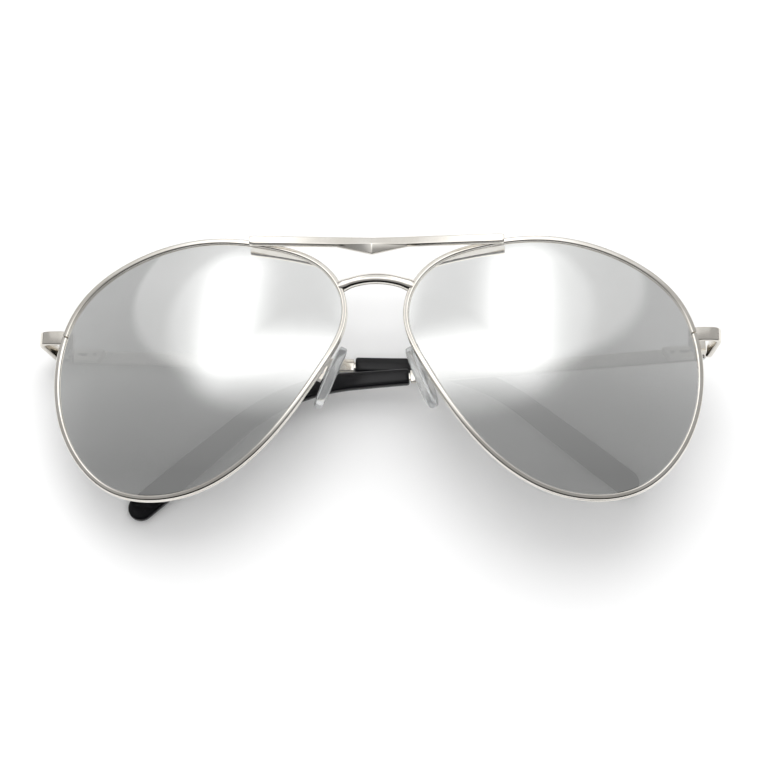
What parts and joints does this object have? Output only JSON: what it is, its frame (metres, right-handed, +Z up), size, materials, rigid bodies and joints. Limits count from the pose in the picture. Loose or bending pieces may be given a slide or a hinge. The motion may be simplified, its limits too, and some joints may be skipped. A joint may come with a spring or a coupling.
{
  "type": "aviator sunglasses",
  "caption": "Folded metal aviator sunglasses: mirrored teardrop lenses, double bridge with a brow bar, spring hinges, clear nose pads and black temple sleeves.",
  "frame": {"origin": "on the table under the middle of the folded sunglasses, which lie on their back on the folded temples", "axes": "+X to the wearer's left, +Y towards the brow edge, +Z up out of the lenses' front"},
  "size_m": [0.1474, 0.0586, 0.0314],
  "materials": {
    "polished_metal": "polished silver plating, slightly warm",
    "bright_screw": "turned stainless steel",
    "mirror_lens": "silver flash mirror over a grey tint",
    "black_sleeve": "polished black acetate",
    "clear_pad": "clear soft plastic"
  },
  "bodies": {
    "front": {"bridge": "polished_metal", "brow_bar": "polished_metal", "rim_left": "polished_metal", "lens_left": "mirror_lens", "end_piece_left": "polished_metal", "rim_lock_upper_left": "polished_metal", "rim_lock_lower_left": "polished_metal", "rim_screw_left": "bright_screw", "hinge_front_left": "polished_metal", "hinge_screw_left": "bright_screw", "pad_cup_left": "polished_metal", "pad_screw_left": "bright_screw", "pad_arm_left": "polished_metal", "rim_right": "polished_metal", "lens_right": "mirror_lens", "end_piece_right": "polished_metal", "rim_lock_upper_right": "polished_metal", "rim_lock_lower_right": "polished_metal", "rim_screw_right": "bright_screw", "hinge_front_right": "polished_metal", "hinge_screw_right": "bright_screw", "pad_cup_right": "polished_metal", "pad_screw_right": "bright_screw", "pad_arm_right": "polished_metal"},
    "eyelet_left": {"hinge_eyelet_left": "polished_metal"},
    "temple_left": {"temple_arm_left": "polished_metal", "temple_sleeve_left": "black_sleeve", "hinge_housing_left": "polished_metal", "hinge_spring_left": "bright_screw"},
    "pad_left": {"nose_pad_left": "clear_pad"},
    "eyelet_right": {"hinge_eyelet_right": "polished_metal"},
    "temple_right": {"temple_arm_right": "polished_metal", "temple_sleeve_right": "black_sleeve", "hinge_housing_right": "polished_metal", "hinge_spring_right": "bright_screw"},
    "pad_right": {"nose_pad_right": "clear_pad"}
  },
  "joints": [
    {"name": "temple_right_fold", "type": "hinge", "parent": "front", "child": "eyelet_right", "pos_m": [-0.06887, 0.00876, 0.00235], "axis": [0.0102, 0.9996, 0.0257], "range_deg": [0, 87]},
    {"name": "temple_left_fold", "type": "hinge", "parent": "front", "child": "eyelet_left", "pos_m": [0.07049, 0.00876, 0.01345], "axis": [0.0784, -0.9967, -0.0185], "range_deg": [0, 88.5]},
    {"name": "temple_right_flex", "type": "slide", "parent": "eyelet_right", "child": "temple_right", "axis": [0.9999, -0.0105, 0.0094], "range_m": [0, 0.0012], "stiffness_N_per_m": 1200, "springref_m": -0.001, "deforming": ["hinge_spring_right"]},
    {"name": "temple_left_flex", "type": "slide", "parent": "eyelet_left", "child": "temple_left", "axis": [-0.9938, -0.0767, -0.0811], "range_m": [0, 0.0012], "stiffness_N_per_m": 1200, "springref_m": -0.001, "deforming": ["hinge_spring_left"]},
    {"name": "pad_left_rock", "type": "hinge", "parent": "front", "child": "pad_left", "pos_m": [0.0116, -0.00023, 0.02133], "axis": [0.3004, 0.1146, -0.9469], "range_deg": [-8, 8]},
    {"name": "pad_right_rock", "type": "hinge", "parent": "front", "child": "pad_right", "pos_m": [-0.01197, -0.00023, 0.01945], "axis": [0.1468, -0.1146, 0.9825], "range_deg": [-8, 8]}
  ],
  "couplings": [
    {"joint": "temple_left_fold", "follows": "temple_right_fold", "ratio": 1.0172}
  ]
}
